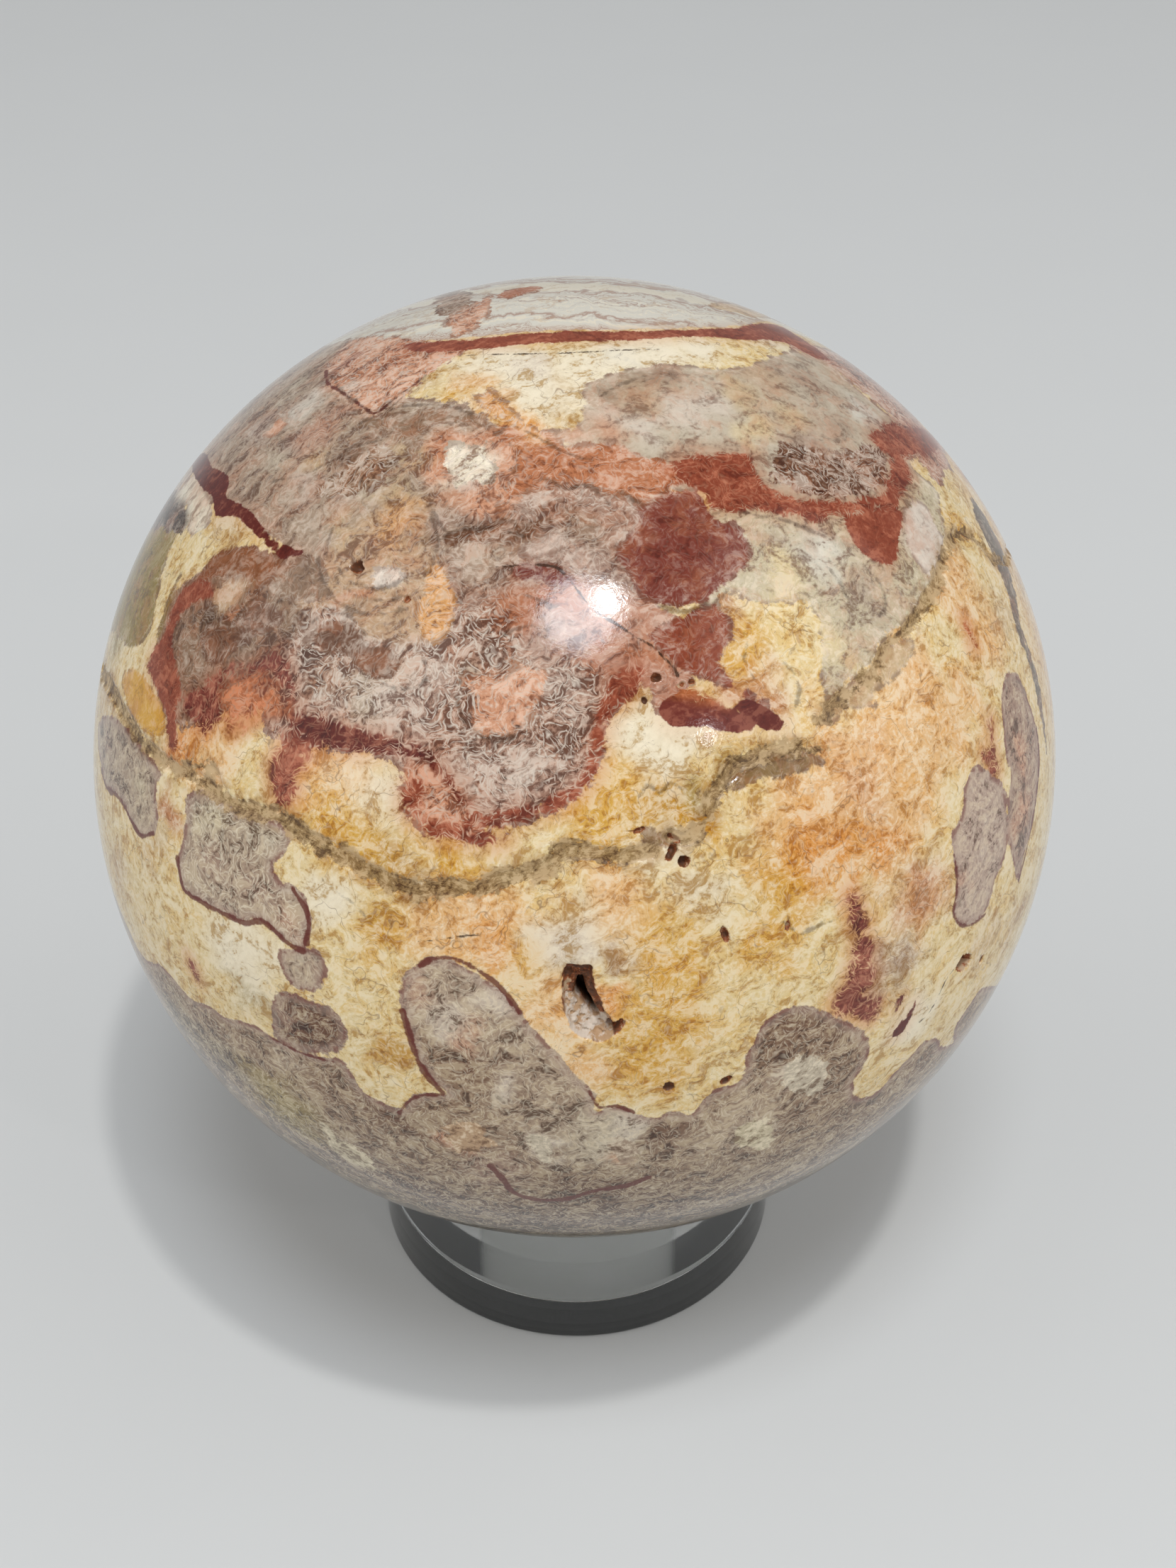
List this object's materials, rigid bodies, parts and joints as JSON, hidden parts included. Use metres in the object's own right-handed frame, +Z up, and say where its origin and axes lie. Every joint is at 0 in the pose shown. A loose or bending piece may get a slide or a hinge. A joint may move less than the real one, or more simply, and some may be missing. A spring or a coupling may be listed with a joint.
{
  "type": "polished stone sphere on a ring stand",
  "caption": "Polished ball of brecciated opal, chalcedony and red jasper with open pits, resting on a clear thick-walled ring stand.",
  "frame": {"origin": "middle of the ring stand's underside", "axes": "+Z up through the middle of the ring and the ball; -Y towards the front, where the large open pit is"},
  "size_m": [0.08, 0.08, 0.0941],
  "materials": {
    "stone": "polished opaque stone",
    "clear_acrylic": "clear, polished"
  },
  "bodies": {
    "root": {"stone": "stone", "ring_stand": "clear_acrylic"}
  },
  "joints": []
}
